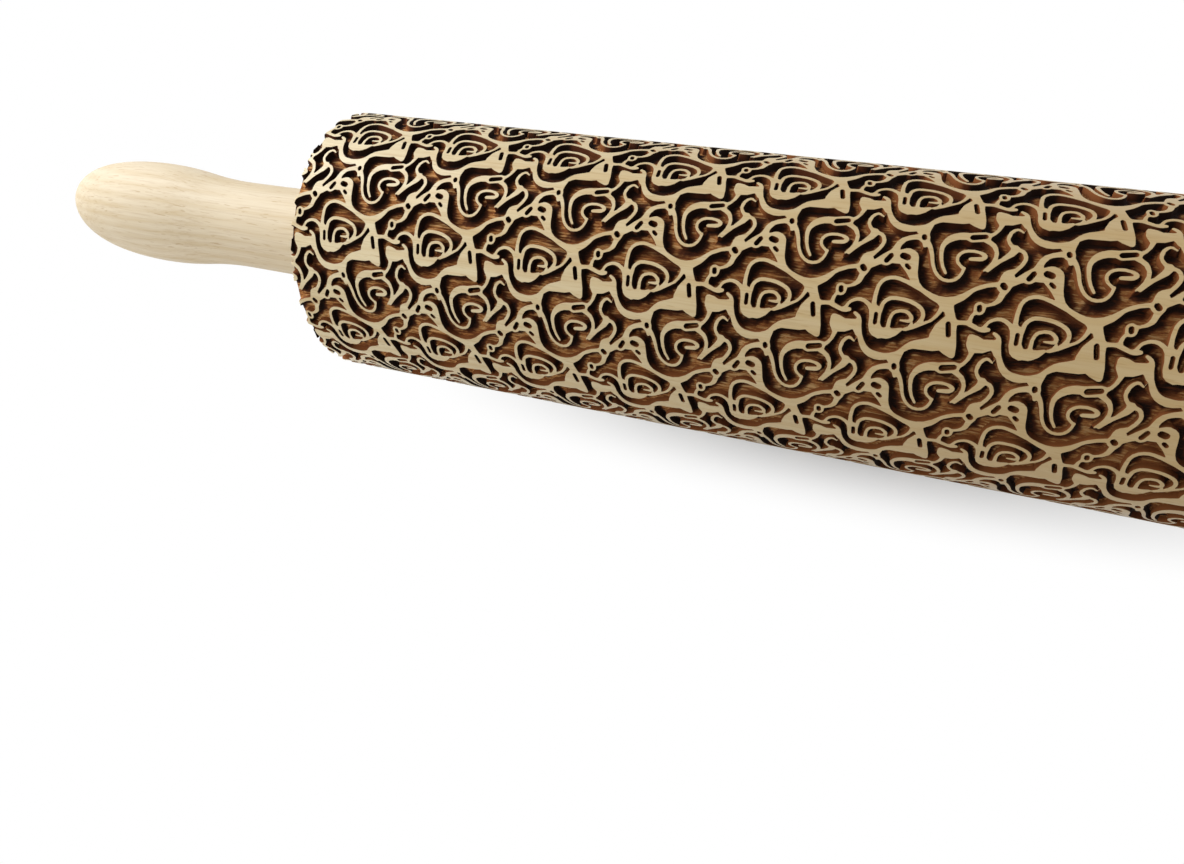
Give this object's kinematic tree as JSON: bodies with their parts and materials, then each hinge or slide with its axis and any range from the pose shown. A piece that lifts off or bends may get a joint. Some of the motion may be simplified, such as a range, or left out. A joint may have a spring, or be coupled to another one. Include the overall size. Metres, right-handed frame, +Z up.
{
  "type": "embossed rolling pin",
  "caption": "Wooden rolling pin with a deeply engraved barrel that turns on a steel axle between two turned grips.",
  "frame": {"origin": "on the table, under the middle of the barrel", "axes": "+X along the pin towards the right handle, +Z up; the roll axis is 30 mm above the origin"},
  "size_m": [0.4374, 0.06, 0.06],
  "materials": {
    "engraved_beech": "laser-engraved beech: pale raised lands, brown grooves with burnt walls, unvarnished",
    "turned_beech": "turned and sanded beech, unvarnished, fine streaks along the grain",
    "axle_steel": "ground steel rod and stamped steel washers",
    "bush_nylon": "natural nylon, satin, with fine turning marks",
    "insert_brass": "knurled brass, satin"
  },
  "bodies": {
    "handles": {"axle": "axle_steel", "left_thrust_washer": "axle_steel", "right_thrust_washer": "axle_steel", "left_handle": "turned_beech", "right_handle": "turned_beech", "left_insert": "insert_brass", "right_insert": "insert_brass"},
    "barrel": {"barrel": "engraved_beech", "left_bush": "bush_nylon", "right_bush": "bush_nylon"}
  },
  "joints": [
    {"name": "barrel_spin", "type": "hinge", "parent": "handles", "child": "barrel", "pos_m": [0, 0, 0.03], "axis": [1, 0, 0], "continuous": true}
  ]
}
